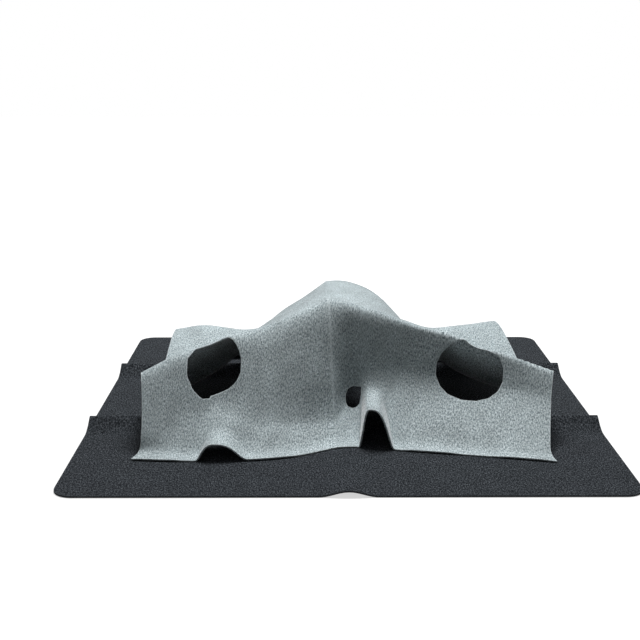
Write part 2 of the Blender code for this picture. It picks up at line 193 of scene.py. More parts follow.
# Melange of the felt. Rates say how much finer than a clump a pattern is, across and along.
# A lay is its turn and drift, and its grain is the detail and roughness of the noise. Levels
# are the limits of what goes in, and then of what comes out.
STRAND_RATES = (3.2, 0.55)
STRAND_LAYS = ((0.35, 0.3), (-0.62, 1.7), (1.45, 2.9))
STRAND_GRAIN = (2.0, 0.55)
STREAK_RATES = (1.9, 0.6)
STREAK_LAY = (0.06, 7.7)
STREAK_GRAIN = (3.0, 0.6)
STREAK_SHARE = 0.6
CLUMP_LAY = (0.2, 5.1)
CLUMP_GRAIN = (3.0, 0.65)
CLUMP_SHARE = 0.4
CLOUDS_PER_METRE = (30.0, 22.0)
CLOUD_LAY = (0.5, 3.3)
CLOUD_GRAIN = (3.0, 0.55)
CLOUD_LEVELS = (0.3, 0.7, 0.90, 1.10)
PALE_LEVELS = (0.50, 0.61, 0.0, 0.74)
DARK_LEVELS = (0.50, 0.39, 0.0, 0.80)
LIT_LEVELS = (0.56, 0.76, 0.0, 0.5)
SUNK_LEVELS = (0.42, 0.26, 0.0, 0.5)
FELT_ROUGHNESS_LEVELS = (0.3, 0.7, 0.97, 0.86)
# Share of the pale fibres in the painted highlight on cut edges and along the fold
PAINTED_HIGHLIGHT_SHARE = 0.40
MELANGE_HEIGHT = 0.6
STRAND_HEIGHT = 0.3
ROW_HEIGHT = 0.35
ROW_WANDERS_PER_METRE = (60.0, 25.0)
ROW_WANDER_LAY = (0.0, 0.9)
ROW_WANDER_GRAIN = (1.0, 0.5)
ROW_WANDER = 7.0
FELT_RELIEF = 0.65
FELT_SHEEN_ROUGHNESS = 0.25

# Raised dots and worn specks of the anti-slip layer
DOTS_PER_METRE = 260.0
DOT_LEVELS = (0.15, 0.42, 1.0, 0.0)
SPECKS_PER_METRE = (900.0, 900.0)
SPECK_LAY = (0.0, 0.0)
SPECK_GRAIN = (2.0, 0.6)
SPECK_HEIGHT = 0.2
GRIP_RELIEF = 0.7
GRIP_RELIEF_DEPTH = 0.0006
GRIP_WORN = (0.05, 0.05, 0.05, 1.0)
GRIP_WORN_LEVELS = (0.4, 0.7, 0.0, 0.5)
GRIP_ROUGHNESS_LEVELS = (0.3, 0.7, 0.6, 0.85)

# Weave of the hook tape
WEAVE_UNEVENNESS = 0.25
WEAVE_LEVELS = (0.10, 0.45, 1.0, 0.0)
WEAVE_RELIEF = 0.9
WEAVE_RELIEF_DEPTH = 0.0007
WEAVE_PALER = 3.0
WEAVE_ROUGHNESS_LEVELS = (0.0, 1.0, 0.75, 0.4)

# Studio
FLOOR_REACH = 9.0
FLOOR_DROP = 0.0004
FLOOR_ROUGHNESS = 0.9
FLOOR_LIGHT_LEVELS = (0.75, 1.6, 0.62, 1.0)
LIGHT_TARGET = (0.0, 0.0, 0.1)
KEY_PLACE = (-0.9, 1.5, 1.6)
KEY_SIZE = 1.2
OVERHEAD_PLACE = (0.10, 0.40, 2.6)
OVERHEAD_SIZE = 1.1
LEFT_PLACE = (-2.4, -1.0, 1.1)
LEFT_SIZE = 1.4
CAMERA_PLACE = (-0.056, -2.144, 0.7264)
CAMERA_TILT = math.radians(90.0 - 14.4)
CAMERA_TURN = math.radians(-0.27)
CAMERA_SENSOR = 36.0
CAMERA_CLIP = (0.05, 60.0)


class RugLook(bpy.types.PropertyGroup):
    """Finish of the rippled rug."""

    ground: bpy.props.FloatVectorProperty(
        name="Ground colour",
        description="Main tone of the rug's felt",
        subtype="COLOR", size=3, min=0, max=1, default=(0.325, 0.382, 0.398),
    )
    pale: bpy.props.FloatVectorProperty(
        name="Pale fibres",
        description="Colour of the lightest fibres in the melange",
        subtype="COLOR", size=3, min=0, max=1, default=(0.69, 0.76, 0.78),
    )
    deep: bpy.props.FloatVectorProperty(
        name="Dark fibres",
        description="Colour of the darkest fibres in the melange",
        subtype="COLOR", size=3, min=0, max=1, default=(0.078, 0.103, 0.112),
    )
    fibre: bpy.props.FloatProperty(
        name="Fibre clump",
        description="Width of the clumps that the melange shows",
        unit="LENGTH", default=0.0034,
    )
    rib: bpy.props.FloatProperty(
        name="Needle rows",
        description="Distance between the rows that the needles leave",
        unit="LENGTH", default=0.0032,
    )
    sheen: bpy.props.FloatProperty(
        name="Sheen",
        description="Strength of the soft shine of upright fibres",
        subtype="FACTOR", min=0, max=1, default=0.55,
    )
    gloss: bpy.props.FloatProperty(
        name="Gloss",
        description="Strength of the plain reflections",
        subtype="FACTOR", min=0, max=1, default=0.15,
    )
    relief: bpy.props.FloatProperty(
        name="Relief",
        description="Depth of the unevenness of the fibres",
        unit="LENGTH", default=0.0012,
    )


class BaseLook(bpy.types.PropertyGroup):
    """Finish of the flat base mat."""

    ground: bpy.props.FloatVectorProperty(
        name="Ground colour",
        description="Main tone of the base's felt",
        subtype="COLOR", size=3, min=0, max=1, default=(0.0085, 0.0104, 0.0128),
    )
    pale: bpy.props.FloatVectorProperty(
        name="Pale fibres",
        description="Colour of the lightest fibres in the melange",
        subtype="COLOR", size=3, min=0, max=1, default=(0.104, 0.115, 0.128),
    )
    deep: bpy.props.FloatVectorProperty(
        name="Dark fibres",
        description="Colour of the darkest fibres in the melange",
        subtype="COLOR", size=3, min=0, max=1, default=(0.002, 0.003, 0.004),
    )
    fibre: bpy.props.FloatProperty(
        name="Fibre clump",
        description="Width of the clumps that the melange shows",
        unit="LENGTH", default=0.0033,
    )
    rib: bpy.props.FloatProperty(
        name="Needle rows",
        description="Distance between the rows that the needles leave",
        unit="LENGTH", default=0.0032,
    )
    sheen: bpy.props.FloatProperty(
        name="Sheen",
        description="Strength of the soft shine of upright fibres",
        subtype="FACTOR", min=0, max=1, default=0.01,
    )
    gloss: bpy.props.FloatProperty(
        name="Gloss",
        description="Strength of the plain reflections",
        subtype="FACTOR", min=0, max=1, default=0.06,
    )
    relief: bpy.props.FloatProperty(
        name="Relief",
        description="Depth of the unevenness of the fibres",
        unit="LENGTH", default=0.0008,
    )
    grip: bpy.props.FloatVectorProperty(
        name="Grip colour",
        description="Colour of the anti-slip layer under the base",
        subtype="COLOR", size=3, min=0, max=1, default=(0.02, 0.02, 0.021),
    )


class HookLook(bpy.types.PropertyGroup):
    """Finish of the hook-tape patches."""

    tape: bpy.props.FloatVectorProperty(
        name="Tape colour",
        description="Colour of the woven nylon tape",
        subtype="COLOR", size=3, min=0, max=1, default=(0.028, 0.028, 0.030),
    )
    pitch: bpy.props.FloatProperty(
        name="Hook pitch",
        description="Distance between the rows of hooks",
        unit="LENGTH", default=0.0016,
    )


class StudioLook(bpy.types.PropertyGroup):
    """Light, floor and camera."""

    floor: bpy.props.FloatVectorProperty(
        name="Floor colour",
        description="Colour with which the floor takes and throws back the light",
        subtype="COLOR", size=3, min=0, max=1, default=(0.42, 0.42, 0.42),
    )
    key: bpy.props.FloatProperty(
        name="Key light",
        description="Strength of the softbox behind and above",
        subtype="POWER", default=1.6,
    )
    overhead: bpy.props.FloatProperty(
        name="Overhead light",
        description="Strength of the large softbox above",
        subtype="POWER", default=97.0,
    )
    side: bpy.props.FloatProperty(
        name="Side light",
        description="Strength of the softbox at the left",
        subtype="POWER", default=1.0,
    )
    ambient: bpy.props.FloatProperty(
        name="Room light",
        description="Even light from all round",
        default=0.085,
    )
    lens: bpy.props.FloatProperty(
        name="Lens",
        description="Focal length of the camera",
        subtype="DISTANCE_CAMERA", default=60.56,
    )


# Relief of the base mat


def crease_profile(offset):
    """Height of a pressed crease at a distance from its line."""
    soft = np.hypot(offset, CREASE_ROUNDING) - CREASE_ROUNDING
    span = math.hypot(CREASE_HALF_WIDTH, CREASE_ROUNDING) - CREASE_ROUNDING
    return CREASE_HEIGHT * np.maximum(0.0, 1.0 - soft / span) ** 2


def base_relief(x, y):
    """Height of the base's creases and its front hump above the floor plane."""
    behind = np.clip((y + BASE_SIDE / 2) / HUMP_REACH, 0.0, 1.0)
    aside = np.clip(np.abs(x) / HUMP_HALF_WIDTH, 0.0, 1.0)
    height = HUMP_HEIGHT * (0.5 + 0.5 * np.cos(math.pi * aside)) * (0.5 + 0.5 * np.cos(math.pi * behind))
    for share in CREASE_PLACE_SHARES:
        height = height + crease_profile(y - share * BASE_SIDE)
    return height


# Shape of the rug


def station_slopes(places, rows):
    """Smooth slopes at the stations, for a cubic run through them."""
    gaps = np.diff(places)[:, None]
    rises = np.diff(rows, axis=0) / gaps
    slopes = np.zeros_like(rows)
    slopes[1:-1] = (rises[:-1] * gaps[1:] + rises[1:] * gaps[:-1]) / (gaps[1:] + gaps[:-1])
    slopes[0] = rises[0]
    slopes[-1] = rises[-1]
    return slopes


def fold_at(across):
    """The fold's shares at any place across the rug, with a break at the sharp fold line."""
    table = np.array(FOLD_SHARES)
    if across <= table[FOLD_LINE_STATION, 0]:
        table = table[:FOLD_LINE_STATION + 1]
    else:
        table = table[FOLD_LINE_STATION:]
    places = table[:, 0]
    rows = table[:, 1:]
    slopes = station_slopes(places, rows)
    index = int(np.clip(np.searchsorted(places, across, side="right") - 1, 0, len(places) - 2))
    width = places[index + 1] - places[index]
    t = (across - places[index]) / width
    start = (2 * t ** 3 - 3 * t ** 2 + 1) * rows[index] + (t ** 3 - 2 * t ** 2 + t) * width * slopes[index]
    end = (3 * t ** 2 - 2 * t ** 3) * rows[index + 1] + (t ** 3 - t ** 2) * width * slopes[index + 1]
    return start + end


def section_corners(fold):
    """Corners (Y, Z) of the section, as shares, from the front hem to the flat run at the rear."""
    hem, knee_y, knee_z, front_y, front_z, back_y, back_z, dip_y, dip_z, rear_y, rear_z, foot = fold[4:]
    return np.array((
        (hem, 0.0),
        (hem + RUG_HEM / RUG_SIDE, HEM_RISE / RUG_SIDE),
        (knee_y, knee_z),
        (front_y, front_z),
        (back_y, back_z),
        (dip_y, dip_z),
        (rear_y, rear_z),
        (foot, 0.0),
        (foot + REAR_RUN_SHARE, 0.0),
    ))


def section_run(across):
    """Fine points (Y, Z) of the rug's underside at a place across it."""
    corners = section_corners(fold_at(across))
    last = len(corners) - 1
    bend = np.linspace(0, 1, BEZIER_POINTS)[:, None]
    parts = [corners[:1]]
    for index in range(1, last):
        ahead_share = ROUNDING_SHARES[index - 1] / 2 if index < last - 1 else REAR_ROUNDING_SHARE
        behind = corners[index] + (corners[index - 1] - corners[index]) * ROUNDING_SHARES[index - 1] / 2
        ahead = corners[index] + (corners[index + 1] - corners[index]) * ahead_share
        parts.append((1 - bend) ** 2 * behind + 2 * bend * (1 - bend) * corners[index] + bend ** 2 * ahead)
    tail = np.linspace(2 * REAR_ROUNDING_SHARE, 1, BEZIER_POINTS)[:, None]
    parts.append(corners[-2] + (corners[-1] - corners[-2]) * tail)
    run = np.vstack(parts)
    for ruffle in FRONT_RUFFLE_SHARES:
        lift_ruffle(run, across, ruffle, run[:, 0] < RUFFLE_LIMIT_SHARES[0], FRONT_ARCH_POWER)
    for ruffle in REAR_RUFFLE_SHARES:
        lift_ruffle(run, across, ruffle, run[:, 0] > RUFFLE_LIMIT_SHARES[1], REAR_ARCH_POWER)
    return run * RUG_SIDE


def lift_ruffle(run, across, ruffle, near, power):
    """Raise the points that lie under an arched ruffle to its crest line."""
    crest, reach_left, reach_right, height = ruffle
    reach = reach_left if across < crest else reach_right
    offset = min(1.0, abs(across - crest) / reach)
    arch = (1 - offset ** power) ** power
    if arch <= 0:
        return
    level = height * arch
    blend = RUFFLE_BLEND_SHARE * arch
    raised = 0.5 * (run[:, 1] + level + np.sqrt((run[:, 1] - level) ** 2 + blend ** 2))
    run[near, 1] = raised[near]


def lay_rug(flat):
    """World points of the rug's underside for flat places (u, s), and how far it rises there."""
    laid = np.zeros((len(flat), 3))
    risen = np.zeros(len(flat))
    columns, owner = np.unique(np.round(flat[:, 0], COLUMN_DIGITS), return_inverse=True)
    order = np.argsort(owner, kind="stable")
    ends = np.searchsorted(owner[order], np.arange(len(columns) + 1))
    for index, u in enumerate(columns):
        rows = order[ends[index]:ends[index + 1]]
        run = section_run(u / RUG_SIDE)
        length = np.concatenate([[0.0], np.cumsum(np.hypot(*np.diff(run, axis=0).T))])
        s = flat[rows, 1]
        side_places = fold_at(u / RUG_SIDE)[:len(SIDE_PLACE_SHARES)]
        side_curve = np.polyfit(SIDE_PLACE_SHARES, side_places, len(SIDE_PLACE_SHARES) - 1)
        share = np.polyval(side_curve, s / RUG_SIDE)
        flare = np.clip(1 - s / HEM_FLARE_REACH, 0.0, 1.0) ** 2 * abs(2 * u / RUG_SIDE) ** HEM_FLARE_POWER
        laid[rows, 0] = share * RUG_SIDE + math.copysign(HEM_FLARE, u) * flare
        laid[rows, 1] = np.interp(s, length, run[:, 0])
        risen[rows] = np.interp(s, length, run[:, 1])
    laid[:, 2] = RUG_BOTTOM + np.hypot(risen, base_relief(laid[:, 0], laid[:, 1]))
    return laid, risen


def rug_holes():
    """Centre (u, s), radius and rim points of each hole."""
    half = RUG_SIDE / 2
    left = (FRONT_LEFT_HOLE[0] - half, FRONT_LEFT_HOLE[1])
    right = (half - FRONT_RIGHT_HOLE[0], FRONT_RIGHT_HOLE[1])
    rear = [(-u, RUG_SIDE - s) for u, s in (left, right)]
    holes = [(centre, BIG_HOLE_DIAMETER / 2, BIG_RIM_POINTS) for centre in (left, right, HILL_HOLE, *rear)]
    holes.append((SMALL_HOLE, SMALL_HOLE_DIAMETER / 2, SMALL_RIM_POINTS))
    return holes


def grid_lines(low, high, through, step):
    """Evenly stepped places from low to high through one given place, with a narrow band at each end."""
    first = through - step * math.floor((through - low - EDGE_BAND) / step)
    inner = np.arange(first, high - EDGE_BAND, step)
    keep = inner[(inner > low + EDGE_CLEARANCE) & (inner < high - EDGE_CLEARANCE)]
    return np.concatenate([[low, low + EDGE_BAND], keep, [high - EDGE_BAND, high]])


def rug_pattern():
    """Triangles of the flat rug with its holes: places (u, s) and index triples."""
    half = RUG_SIDE / 2
    fold_line = FOLD_SHARES[FOLD_LINE_STATION][0] * RUG_SIDE
    columns = grid_lines(EDGE_ROUNDING - half, half - EDGE_ROUNDING, fold_line, RUG_STEP)
    rows = grid_lines(EDGE_ROUNDING, RUG_SIDE - EDGE_ROUNDING, half, RUG_STEP)
    grid = np.stack(np.meshgrid(columns, rows, indexing="ij"), axis=-1).reshape(-1, 2)
    free = np.ones(len(grid), bool)
    rings = []
    for centre, radius, count in rug_holes():
        distance = np.hypot(grid[:, 0] - centre[0], grid[:, 1] - centre[1])
        free &= distance > radius + EDGE_ROUNDING + EDGE_BAND + RIM_CLEARANCE
        angles = 2 * math.pi * (np.arange(count) + 0.5) / count
        circle = np.stack([np.cos(angles), np.sin(angles)], axis=-1)
        for reach in (radius + EDGE_ROUNDING, radius + EDGE_ROUNDING + EDGE_BAND):
            rings.append(np.array(centre) + circle * reach)
    points = [*rings, grid[free]]
    starts = np.cumsum([0] + [len(ring) for ring in rings])
    edges = []
    for start, ring in zip(starts[::2], rings[::2]):
        edges += [(int(start) + k, int(start) + (k + 1) % len(ring)) for k in range(len(ring))]
    flat = np.vstack(points)
    verts, _, faces, _, _, _ = delaunay_2d_cdt([Vector(p) for p in flat], edges, [], 0, MERGE_DISTANCE)
    flat = np.array(verts)
    faces = np.array([face[:] for face in faces if len(face) == 3])
    middle = flat[faces].mean(axis=1)
    kept = np.ones(len(faces), bool)
    for centre, radius, _ in rug_holes():
        kept &= np.hypot(middle[:, 0] - centre[0], middle[:, 1] - centre[1]) > radius
    faces = faces[kept]
    a, b, c = flat[faces[:, 0]], flat[faces[:, 1]], flat[faces[:, 2]]
    turned = (b[:, 0] - a[:, 0]) * (c[:, 1] - a[:, 1]) - (b[:, 1] - a[:, 1]) * (c[:, 0] - a[:, 0])
    faces[turned < 0] = faces[turned < 0][:, ::-1]
    return flat, faces


# Sheets of felt with a rounded cut edge


def rim_loops(faces):
    """Ordered loops of the open edges of a triangle or quad mesh, with its faces on their left."""
    count = faces.shape[1]
    pairs = np.concatenate([faces[:, [k, (k + 1) % count]] for k in range(count)])
    known = set(map(tuple, pairs.tolist()))
    after = {a: b for a, b in known if (b, a) not in known}
    loops = []
    while after:
        start = next(iter(after))
        loop = [start]
        step = after.pop(start)
        while step != start:
            loop.append(step)
            step = after.pop(step)
        loops.append(np.array(loop))
    return loops


def point_normals(points, faces):
    """Unit normals of a mesh's points, weighted by the faces round them."""
    a, b, c = points[faces[:, 0]], points[faces[:, 1]], points[faces[:, 2]]
    face_normals = np.cross(b - a, c - a)
    if faces.shape[1] == 4:
        face_normals += np.cross(c - a, points[faces[:, 3]] - a)
    normals = np.zeros_like(points)
    for column in range(faces.shape[1]):
        np.add.at(normals, faces[:, column], face_normals)
    return normals / np.linalg.norm(normals, axis=1)[:, None]


def felt_sheet(name, under, flat, faces, thickness, material, fold_highlight=0.0):
    """A closed sheet: underside, upper side and a rounded edge round every rim. The painted fold highlight is
    0 to 1.
    """
    normals = point_normals(under, faces)
    count = len(under)
    points = [under, under + normals * thickness]
    places = [flat, flat]
    highlight_mask = [np.zeros(count) + fold_highlight, np.zeros(count) + fold_highlight]
    polygons = [faces[:, ::-1], faces + count]
    total = 2 * count
    for loop in rim_loops(faces):
        ring, ring_places, strips = edge_rings(loop, under, flat, normals, thickness, count, total)
        points += ring
        places += ring_places
        # Cut edges get a painted highlight, as of rims that catch the light
        highlight_mask += [np.ones(len(loop))] * len(ring)
        polygons.append(strips)
        total += len(loop) * len(ring)
        highlight_mask[0][loop] = 1.0
        highlight_mask[1][loop] = 1.0
    mesh = bpy.data.meshes.new(name)
    corners = [list(face) for block in polygons for face in block.tolist()]
    mesh.from_pydata(np.vstack(points).tolist(), [], corners)
    mesh.shade_smooth()
    write_cloth_map(mesh, np.vstack(places), np.concatenate(highlight_mask))
    mesh.materials.append(material)
    sheet = bpy.data.objects.new(name, mesh)
    bpy.context.scene.collection.objects.link(sheet)
    return sheet


def edge_rings(loop, under, flat, normals, thickness, count, first):
    """Rings of points that round a cut edge from underside to upper side, and the quads between them."""
    ahead, behind = np.roll(loop, -1), np.roll(loop, 1)
    tangent = under[ahead] - under[behind]
    out = np.cross(tangent, normals[loop])
    out /= np.linalg.norm(out, axis=1)[:, None]
    flat_tangent = flat[ahead] - flat[behind]
    flat_out = np.stack([flat_tangent[:, 1], -flat_tangent[:, 0]], axis=-1)
    flat_out /= np.linalg.norm(flat_out, axis=1)[:, None]
    rings = []
    places = []
    for step in range(1, EDGE_STEPS):
        angle = math.pi * (step / EDGE_STEPS - 0.5)
        reach = EDGE_ROUNDING * math.cos(angle) ** EDGE_REACH_POWER
        lift = thickness / 2 * (1 + math.copysign(abs(math.sin(angle)) ** EDGE_LIFT_POWER, angle))
        rings.append(under[loop] + out * reach + normals[loop] * lift)
        places.append(flat[loop] + flat_out * (reach + min(lift, thickness - lift)))
    rows = [loop]
    rows += [first + len(loop) * k + np.arange(len(loop)) for k in range(len(rings))]
    rows.append(loop + count)
    strips = []
    for low, high in zip(rows, rows[1:]):
        strips.append(np.stack([low, np.roll(low, -1), np.roll(high, -1), high], axis=-1))
    return rings, places, np.vstack(strips)


def write_cloth_map(mesh, places, highlight_mask):
    """Store the place on the flat cloth, in metres, as a UV map, and the painted highlight of cut edges and
    the fold as a mask.
    """
    owners = np.zeros(len(mesh.loops), np.int32)
    mesh.loops.foreach_get("vertex_index", owners)
    cloth = mesh.uv_layers.new(name="cloth")
    cloth.data.foreach_set("uv", places[owners].astype(np.float32).ravel())
    mask = mesh.attributes.new("painted_highlight", "FLOAT", "POINT")
    mask.data.foreach_set("value", highlight_mask.astype(np.float32))


def soft_waves(flat):
    """Slow uneven swell of hand-laid felt, between about -1 and 1."""
    u, s = flat[:, 0] / SWELL_SIZE, flat[:, 1] / SWELL_SIZE
    first_bend, second_bend = SWELL_BENDS
    bend_rate, run_rate, slow_rate = SWELL_RATES
    swell = np.sin(u + first_bend * np.sin(bend_rate * s + SWELL_PHASE) + SWELL_PHASE)
    swell += np.sin(run_rate * s - second_bend * np.sin(slow_rate * u + 2 * SWELL_PHASE))
    return swell / 2


def hook_closeness(points):
    """1 over a hook patch, fading to 0 a few centimetres away."""
    closeness = np.zeros(len(points))
    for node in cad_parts:
        if not node.startswith("hook_"):
            continue
        low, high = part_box(node)
        x = np.maximum(0.0, np.maximum(low.x - points[:, 0], points[:, 0] - high.x))
        y = np.maximum(0.0, np.maximum(low.y - points[:, 1], points[:, 1] - high.y))
        closeness = np.maximum(closeness, np.exp(-(np.hypot(x, y) / HOOK_FADE) ** 2))
    return closeness


def rug_surface():
    """Underside of the rug as it is shown, with its flat places and faces."""
    flat, faces = rug_pattern()
    laid, risen = lay_rug(flat)
    near = np.clip(risen / SETTLED_BELOW, 0.0, 1.0)
    settled = 1.0 - near ** 2 * (3 - 2 * near)
    wave = np.sin(2 * math.pi * (flat[:, 1] / SIDE_SWAY_LENGTH - SIDE_SWAY_START))
    sway = np.abs(2 * flat[:, 0] / RUG_SIDE) ** SIDE_SWAY_POWER * wave
    laid[:, 0] += np.sign(flat[:, 0]) * SIDE_SWAY * sway * (flat[:, 1] < RUG_SIDE / 2)
    laid[:, 2] -= (HOOK_THICKNESS + GAP) * (1.0 - hook_closeness(laid)) * settled
    free = np.clip(risen / FREE_ABOVE, 0.0, 1.0)
    swell = SWELL_HEIGHT * free * soft_waves(flat)
    laid += point_normals(laid, faces) * swell[:, None]
    return laid, flat, faces


def painted_fold_highlight(flat):
    """1 along the sharp fold down the hill's front, where a paler line is painted as the highlight that the
    fold catches, and 0 away from it.
    """
    fold_line = FOLD_SHARES[FOLD_LINE_STATION][0] * RUG_SIDE
    start, end = FOLD_HIGHLIGHT_REACH
    within = np.clip(np.minimum(flat[:, 1] - start, end - flat[:, 1]) / FOLD_HIGHLIGHT_FADE, 0.0, 1.0)
    return within * np.exp(-((flat[:, 0] - fold_line) / FOLD_HIGHLIGHT_WIDTH) ** 2)


def bending_patch(name, node, material):
    """A hook patch in its node's place, cut into short lengths so that it can bend with the hem."""
    patch = bpy.data.objects.new(name, node.data.copy())
    bpy.context.scene.collection.objects.link(patch)
    cut = bmesh.new()
    cut.from_mesh(patch.data)
    bmesh.ops.remove_doubles(cut, verts=cut.verts, dist=WELD_DISTANCE)
    bmesh.ops.subdivide_edges(cut, edges=cut.edges, cuts=PATCH_CUTS, use_grid_fill=True)
    cut.to_mesh(patch.data)
    cut.free()
    patch.data.materials.clear()
    patch.data.materials.append(material)
    return patch


def base_grid():
    """Flat grid of the base inside its rounded corners: places (x, y) and quads."""
    half = BASE_SIDE / 2 - EDGE_ROUNDING
    radius = BASE_CORNER_RADIUS - EDGE_ROUNDING
    inner = half - radius
    turn = np.linspace(0, math.pi / 2, CORNER_STEPS + 1)
    rows = [inner + radius * np.sin(turn), -inner - radius * np.sin(turn)]
    rows.append(np.arange(-inner, inner, BASE_STEP))
    for share in CREASE_PLACE_SHARES:
        middle = share * BASE_SIDE
        reach = CREASE_HALF_WIDTH * CREASE_FINE_SHARE
        rows.append(np.arange(middle - reach, middle + reach, CREASE_STEP))
    rows = np.unique(np.round(np.concatenate(rows), ROW_DIGITS))
    keep = np.concatenate([[True], np.diff(rows) > SMALLEST_ROW])
    rows = rows[keep]
    into = np.maximum(0.0, np.abs(rows) - inner)
    half_widths = inner + np.sqrt(np.maximum(0.0, radius ** 2 - into ** 2))
    shares = np.linspace(-1, 1, 2 * int(half / BASE_STEP) + 1)
    band = 1 - EDGE_BAND / half
    shares = np.sort(np.concatenate([shares, [-band, band]]))
    across = half_widths[:, None] * shares[None, :]
    flat = np.stack([across, np.repeat(rows[:, None], len(shares), axis=1)], axis=-1)
    index = np.arange(len(rows) * len(shares)).reshape(len(rows), len(shares))
    quads = np.stack([index[:-1, :-1], index[:-1, 1:], index[1:, 1:], index[1:, :-1]], axis=-1).reshape(-1, 4)
    return flat.reshape(-1, 2), quads


def build_base_layer(name, bottom, thickness, material):
    """One layer of the base with its pressed creases."""
    flat, quads = base_grid()
    relief = base_relief(flat[:, 0], flat[:, 1])
    under = np.column_stack([flat, bottom + relief])
    return felt_sheet(name, under, flat, quads, thickness, material)


# Node helpers


def add_node(tree, kind, **settings):
    """A new node with its settings."""
    made = tree.nodes.new(kind)
    for name, value in settings.items():
        setattr(made, name, value)
    return made


def calculate(tree, operation, first, second=0.0, third=None):
    """A Math node's result for two or three sockets or numbers."""
    made = add_node(tree, "ShaderNodeMath", operation=operation)
    for index, value in enumerate((first, second, third)):
        if value is None:
            continue
        if isinstance(value, bpy.types.NodeSocket):
            tree.links.new(value, made.inputs[index])
        else:
            made.inputs[index].default_value = value
    return made.outputs[0]


def blend_colours(tree, share, first, second):
    """A colour Mix node's result."""
    made = add_node(tree, "ShaderNodeMix", data_type="RGBA")
    for index, value in ((0, share), (6, first), (7, second)):
        if isinstance(value, bpy.types.NodeSocket):
            tree.links.new(value, made.inputs[index])
        else:
            made.inputs[index].default_value = value
    return made.outputs[2]


def stretch(tree, place, rates, lay):
    """A place turned and drifted by a lay, and then scaled across and along by numbers or sockets."""
    turn, drift = lay
    turned = add_node(tree, "ShaderNodeMapping", vector_type="POINT")
    turned.inputs["Location"].default_value = (drift, drift, 0.0)
    turned.inputs["Rotation"].default_value = (0.0, 0.0, turn)
    tree.links.new(place, turned.inputs["Vector"])
    scaled = add_node(tree, "ShaderNodeVectorMath", operation="MULTIPLY")
    tree.links.new(turned.outputs[0], scaled.inputs[0])
    pair = add_node(tree, "ShaderNodeCombineXYZ")
    for index, value in enumerate(rates):
        if isinstance(value, bpy.types.NodeSocket):
            tree.links.new(value, pair.inputs[index])
        else:
            pair.inputs[index].default_value = value
    tree.links.new(pair.outputs[0], scaled.inputs[1])
    return scaled.outputs[0]


def noise(tree, place, rates, lay, grain):
    """Noise over a stretched place, with its detail and roughness as its grain."""
    made = add_node(tree, "ShaderNodeTexNoise", noise_dimensions="2D")
    made.inputs["Scale"].default_value = 1.0
    made.inputs["Detail"].default_value, made.inputs["Roughness"].default_value = grain
    tree.links.new(stretch(tree, place, rates, lay), made.inputs["Vector"])
    return made.outputs["Fac"]


def remap(tree, value, levels):
    """A value between the first two levels, spread over the other two."""
    made = add_node(tree, "ShaderNodeMapRange", clamp=True)
    tree.links.new(value, made.inputs["Value"])
    for name, level in zip(("From Min", "From Max", "To Min", "To Max"), levels):
        made.inputs[name].default_value = level
    return made.outputs["Result"]


def new_material(name):
    """A material, its node tree and its shader."""
    material = bpy.data.materials.new(name)
    material.use_nodes = True
    return material, material.node_tree, material.node_tree.nodes["Principled BSDF"]


def add_relief(tree, height, strength, depth):
    """Bump on the tree's shader from a height, with its depth in metres."""
    bump = add_node(tree, "ShaderNodeBump")
    bump.inputs["Strength"].default_value = strength
    bump.inputs["Distance"].default_value = depth
    tree.links.new(height, bump.inputs["Height"])
    tree.links.new(bump.outputs[0], tree.nodes["Principled BSDF"].inputs["Normal"])


def seen_plainly(tree):
    """1 for camera, glossy and transmission rays, and 0 for those that light the object."""
    path = add_node(tree, "ShaderNodeLightPath")
    seen = calculate(tree, "MAXIMUM", path.outputs["Is Camera Ray"], path.outputs["Is Glossy Ray"])
    return calculate(tree, "MAXIMUM", seen, path.outputs["Is Transmission Ray"])


def new_group(name, inputs, outputs):
    """A shader node group with named sockets, and its input and output nodes."""
    group = bpy.data.node_groups.new(name, "ShaderNodeTree")
    for title, kind, default in inputs:
        socket = group.interface.new_socket(title, in_out="INPUT", socket_type=kind)
        if default is not None:
            socket.default_value = default
    for title, kind in outputs:
        group.interface.new_socket(title, in_out="OUTPUT", socket_type=kind)
    return group, add_node(group, "NodeGroupInput"), add_node(group, "NodeGroupOutput")


# Finishes of the felt, the anti-slip layer and the tape


